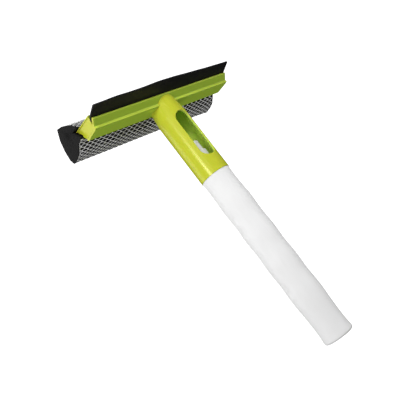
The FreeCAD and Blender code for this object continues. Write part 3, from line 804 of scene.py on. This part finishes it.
@dataclass
class Blade:
    """The rubber blade: a bead and a bent root in the channel, and a tapering lip.

    Bent-up places are (height, middle, half width) along x. Ripples are (size, length,
    phase).
    """

    half_length: float = 100.4
    bead: Point = (-10.4, 8.0)
    bead_radius: float = 1.48
    bead_points: int = 19
    bend: Point = (-14.0, 12.1)
    edge: Point = (-30.2, 14.5)
    root_front: float = 0.7
    root_rear: float = 0.9
    front_start: float = 1.3
    rear_start: float = 1.2
    fillets: tuple[float, ...] = (0.0, 1.6, 0.3, 0.3, 4.0, 0.0)
    lip: float = 2.4
    tip: float = 1.6
    corner: float = 1.3
    corner_rings: int = 7
    rings: int = 81
    bow: float = 0.5
    set_up: float = 0.9
    bent_up: tuple[Wave, ...] = ((2.5, 2.0, 42.0), (1.2, -66.0, 22.0))
    curl: float = 1.6
    ripple: float = 0.12
    ripples: tuple[Wave, ...] = ((1.0, 11.0, 0.0), (0.6, 4.7, 1.0))

    def section(self) -> np.ndarray:
        """The section: round the bead, up the root's front, along the lip and back."""
        bead, bend, edge = (np.array(p) for p in (self.bead, self.bend, self.edge))
        up, out = unit(bend - bead), unit(edge - bend)
        left = np.array([[0, -1], [1, 0]])
        n_up, n_out = left @ up, left @ out
        low = (bend + n_out * self.lip / 2, edge + n_out * self.tip / 2)
        high = (bend - n_out * self.lip / 2, edge - n_out * self.tip / 2)
        front = (bead + n_up * self.root_front, bend + n_up * self.root_front)
        rear = (bead - n_up * self.root_rear, bend - n_up * self.root_rear)
        front_foot = front[0] + up * self.front_start
        rear_foot = rear[0] + up * self.rear_start
        corners = [front_foot, crossing(*front, *low), low[1], high[1],
                   crossing(*rear, *high), rear_foot]
        start = np.arctan2(*(rear_foot - bead)[::-1])
        sweep = (np.arctan2(*(front_foot - bead)[::-1]) - start) % (2 * np.pi)
        angle = start + sweep * np.linspace(0, 1, self.bead_points)
        arc = bead + self.bead_radius * np.stack([np.cos(angle), np.sin(angle)], axis=1)
        return np.vstack([rounded_outline(corners, self.fillets), arc])

    def lifted(self, x: np.ndarray) -> np.ndarray:
        """How far the lip's edge has been bent up: a set all along, and a hump at each place."""
        humps = (tall * np.exp(-((x - middle) / wide) ** 2) for tall, middle, wide in self.bent_up)
        return self.set_up + sum(humps)

    def rippled(self, x: np.ndarray) -> np.ndarray:
        """The edge's waviness along x: two sines of different lengths."""
        return self.ripple * sum(size * np.sin(x / long + phase)
                                 for size, long, phase in self.ripples)

    def build(self, finish: Rubber) -> bpy.types.Object:
        """The section carried along x: the lip bent up, bowed, rippled, with round corners.

        A point's share is how far along the lip it lies. The bow and the round corners move
        it along the lip by its share, the ripple moves it across the lip by its share
        squared, and the bend by its share to the power of the curl.

        Args:
            finish: The rubber's finish.

        Returns:
            The piece.
        """
        section = self.section()
        half, r = self.half_length, self.corner
        ends = half - r + r * np.sin(np.linspace(0, np.pi / 2, self.corner_rings))
        straight = np.linspace(-half + r, half - r, self.rings)[1:-1]
        x = np.concatenate([-ends[::-1], straight, ends])
        bend, edge = np.array(self.bend), np.array(self.edge)
        out = unit(edge - bend)
        side = np.array([-out[1], out[0]])
        share = np.clip((section - bend) @ out / np.linalg.norm(edge - bend), 0, 1)[None, :]
        xx = x[:, None]
        nook = np.clip(np.abs(xx) - half + r, 0, r)
        pull = r - np.sqrt(r ** 2 - nook ** 2)
        along = (self.bow * (1 - (xx / half) ** 2) - pull) * share
        across = self.rippled(xx) * share ** 2 - self.lifted(xx) * share ** self.curl
        point = section[None] + along[..., None] * out + across[..., None] * side
        verts = from_section(np.broadcast_to(xx, along.shape), point)
        piece = new_piece("rubber_blade", verts, capped_faces(len(x), len(section)))
        fit_piece(piece, "head", finish.build(), "blade_rubber", "squeegee_blade")
        return piece


# ---------------------------------------------------------------- pump


@dataclass
class ReturnSpring:
    """The coil spring under the piston, made at rest only; the real spring closes up when the
    button is pressed.
    """

    coil_radius: float = 3.3
    wire_radius: float = 0.34
    turns: float = 6.0
    foot: float = 206.5
    head: float = 218.1
    travel: float = 5.5
    crowding: float = 0.07
    rings: int = 240
    ring_points: int = 10

    def build(self, finish: Steel) -> bpy.types.Object:
        """A ring of wire carried along a helix whose last turns lie closer together.

        Args:
            finish: The steel's finish.

        Returns:
            The piece.
        """
        up = np.array([0, 0, 1])
        t = np.linspace(0, 1, self.rings)[:, None]
        turn = 2 * np.pi * self.turns * t
        even = t - self.crowding * np.sin(2 * np.pi * t) / np.pi
        arm = np.concatenate([np.cos(turn), np.sin(turn), 0 * turn], axis=1)
        middle = arm * self.coil_radius + (self.foot + (self.head - self.foot) * even) * up
        angle = np.linspace(0, 2 * np.pi, self.ring_points + 1)[:-1, None]
        ring = np.cos(angle) * arm[:, None] + np.sin(angle) * up
        verts = middle[:, None] + self.wire_radius * ring
        piece = new_piece("coil_spring", verts, capped_faces(self.rings, self.ring_points))
        fit_piece(piece, "head", finish.build(), "spring_steel", "return_spring")
        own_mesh(piece)
        return piece


@dataclass
class MouldedParts:
    """The pieces that keep the part's own shape, and their finishes."""

    # The lime carries painted shade in its channel and neck and a painted highlight on its lip and
    # ridge.
    lime: Moulded = Moulded(
        "lime_plastic", (0.575, 0.61, 0.038), (0.55, 0.59, 0.035), 0.22, scatter=0.1,
        scatter_reach=(0.5, 1.5, 0.2), scatter_scale=0.0006, tint=(1.0, 0.95, 0.55),
        painted_shading=PaintedShading())
    cap: Moulded = Moulded(
        "lime_cap_plastic", (0.585, 0.605, 0.028), (0.56, 0.585, 0.025), 0.25, scatter=0.1,
        scatter_reach=(0.5, 1.5, 0.2), scatter_scale=0.0006, tint=(1.0, 0.95, 0.55))
    # The bottle's foot is a painted shade, darker towards the bottom.
    bottle: Moulded = Moulded(
        "bottle_plastic", (0.88, 0.88, 0.88), (0.865, 0.865, 0.865), 0.55, cloud=60.0,
        scatter=0.3, specular=0.12, foot=(0.78, 0.78, 0.78))
    pump: Moulded = Moulded("pump_plastic", (0.78, 0.77, 0.775), (0.76, 0.75, 0.755), 0.4)
    carrier: Moulded = Moulded("carrier_plastic", (0.03, 0.03, 0.03), (0.025, 0.025, 0.025), 0.5)
    piston: Moulded = Moulded(
        "piston_plastic", (0.62, 0.65, 0.68), (0.6, 0.63, 0.66), 0.3, scatter=0.3)
    seal: Moulded = Moulded("seal_rubber", (0.5, 0.5, 0.48), (0.47, 0.47, 0.45), 0.6)
    tube: Moulded = Moulded(
        "tube_plastic", (0.72, 0.75, 0.77), (0.7, 0.73, 0.75), 0.2, scatter=0.5)
    balls: Steel = Steel("ball_steel", 0.12)

    def dress(self, nodes: dict[str, bpy.types.Object]) -> None:
        """Give each of the part's own nodes its finish.

        Args:
            nodes: The frame's nodes by name.
        """
        wearers = (
            (self.lime, ("head_frame",)),
            (self.cap, ("end_cap_left", "end_cap_right")),
            (self.bottle, ("bottle",)),
            (self.pump, ("spray_button", "nozzle_insert", "pump_collar", "stem_guide",
                         "pump_stem", "pump_housing")),
            (self.carrier, ("sponge_carrier",)),
            (self.piston, ("pump_piston",)),
            (self.seal, ("mouth_gasket", "housing_seal")),
            (self.tube, ("dip_tube",)),
            (self.balls, ("inlet_ball", "outlet_ball")))
        for finish, names in wearers:
            material = finish.build()
            for name in names:
                nodes[name].data.materials.clear()
                nodes[name].data.materials.append(material)
            LOG.info("%s on %s", finish.name, ", ".join(names))


# ---------------------------------------------------------------- studio


class Sees(Enum):
    """Which of a surface's light a lamp gives."""

    ALL = "all"
    GLOSS = "gloss"
    DIFFUSE = "diffuse"


@dataclass(frozen=True)
class Softbox:
    """A rectangular soft light: its direction from the object, size and strength.

    Its distance, width and height are in metres and its power in watts.
    """

    name: str
    azimuth: float
    elevation: float
    distance: float
    width: float
    height: float
    power: float
    aim: Place = (0.0, 0.0, 230.0)
    gives: Sees = Sees.ALL

    def build(self) -> bpy.types.Object:
        """Place the light: azimuth 0 is in front of the blade, 90 to the left of it."""
        a, e = np.radians(self.azimuth), np.radians(self.elevation)
        aim = np.array(self.aim) * MM
        away = np.array([-np.sin(a) * np.cos(e), -np.cos(a) * np.cos(e), np.sin(e)])
        data = bpy.data.lights.new(self.name, "AREA")
        data.shape, data.size, data.size_y = "RECTANGLE", self.width, self.height
        data.energy = self.power
        light = bpy.data.objects.new(self.name, data)
        bpy.context.scene.collection.objects.link(light)
        turn = Vector(-away).to_track_quat("-Z", "Y").to_matrix().to_4x4()
        light.matrix_world = Matrix.Translation(aim + away * self.distance) @ turn
        light.visible_diffuse = self.gives is not Sees.GLOSS
        light.visible_glossy = self.gives is not Sees.DIFFUSE
        return light


@dataclass
class Studio:
    """White surround, soft lights and the camera."""

    focal: float = 53.05
    sensor: float = 36.0
    near: float = 0.01
    eye: Place = (-429.54, -452.79, 83.75)
    right: Place = (0.67541432, -0.43745914, -0.59367079)
    down: Place = (-0.36219124, 0.50446921, -0.78379099)
    ahead: Place = (0.64236516, 0.74440602, 0.18228186)
    fill: float = 0.35
    glow: float = 1.0
    reach: float = 8000.0
    dome_span: float = 0.49
    dome_rows: int = 49
    dome_columns: int = 96
    floor_drop: float = 0.4
    boxes: tuple[Softbox, ...] = (
        Softbox("front_box", 18.0, 36.0, 1.6, 0.32, 0.32, 11.5, gives=Sees.DIFFUSE),
        Softbox("side_box", 45.0, 22.0, 1.6, 1.0, 1.0, 3.1),
        Softbox("rear_box", 140.0, 22.0, 1.6, 1.0, 1.0, 4.8),
        Softbox("rear_bounce", 140.0, -40.0, 1.6, 1.0, 1.0, 8.0, gives=Sees.DIFFUSE),
        Softbox("key_box", 70.0, 6.0, 0.95, 0.3, 0.3, 2.75, aim=(0.0, 0.0, 250.0),
                gives=Sees.DIFFUSE),
        Softbox("low_box", -50.0, 0.0, 0.9, 0.6, 0.4, 1.4, aim=(0.0, 0.0, 20.0)),
        Softbox("glint_box", 65.5, 4.0, 1.6, 0.4, 0.5, 13.0, gives=Sees.GLOSS))

    def place_camera(self) -> None:
        """Set the camera low and to the left, looking up and rolled."""
        data = bpy.data.cameras.new("camera")
        data.lens, data.sensor_width, data.clip_start = self.focal, self.sensor, self.near
        camera = bpy.data.objects.new("camera", data)
        bpy.context.scene.collection.objects.link(camera)
        turn = np.column_stack([self.right, -np.array(self.down), -np.array(self.ahead)])
        place = Matrix.Translation(np.array(self.eye) * MM)
        camera.matrix_world = place @ Matrix(turn.tolist()).to_4x4()
        bpy.context.scene.camera = camera

    def surround(self) -> None:
        """A white glowing dome and floor that the object is seen against.

        The dome is a sphere of the studio's reach: its rows go up from just over the lowest
        point, and each row goes round the Z axis.
        """
        g = Graph("white_surround")
        g.set(Base_Color=(1, 1, 1, 1), Roughness=1.0, Emission_Color=(1, 1, 1, 1),
              Emission_Strength=self.glow)
        around = np.linspace(0, 2 * np.pi, self.dome_columns + 1)[:-1]
        upwards = np.linspace(-self.dome_span, self.dome_span, self.dome_rows) * np.pi
        u, v = np.meshgrid(around, upwards)
        dome = np.stack([np.cos(v) * np.cos(u), np.cos(v) * np.sin(u), np.sin(v)], axis=-1)
        shell = new_piece("surround", dome * self.reach,
                          capped_faces(self.dome_rows, self.dome_columns))
        side = self.reach / 2
        corners = np.array([[-side, -side], [side, -side], [side, side], [-side, side]])
        flat = np.insert(corners, 2, -self.floor_drop, axis=1)
        floor = new_piece("floor", flat, [[0, 1, 2, 3]], smooth=False)
        for piece in (shell, floor):
            piece.data.materials.append(g.material)
            piece.visible_diffuse = piece.visible_glossy = piece.visible_shadow = False

    def build(self) -> None:
        """Make the camera, the surround and the lights."""
        self.place_camera()
        self.surround()
        world = bpy.data.worlds.new("fill")
        world.use_nodes = True
        light = world.node_tree.nodes["Background"].inputs
        light["Color"].default_value = (1, 1, 1, 1)
        light["Strength"].default_value = self.fill
        world.cycles_visibility.glossy = False
        bpy.context.scene.world = world
        bpy.context.scene.view_settings.view_transform = "Standard"
        for box in self.boxes:
            box.build()


def main() -> None:
    """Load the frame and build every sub-assembly around it."""
    logging.basicConfig(level=logging.INFO, format="%(name)s %(message)s")
    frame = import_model()
    Studio().build()
    MouldedParts().dress(frame["nodes"])
    Blade().build(Rubber("blade_rubber"))
    sponge = Sponge()
    sponge.foam(OpenFoam("black_foam"))
    sponge.net(Yarn("net_yarn"))
    ReturnSpring().build(Steel("spring_steel", 0.25))


if __name__ == "__main__":
    main()
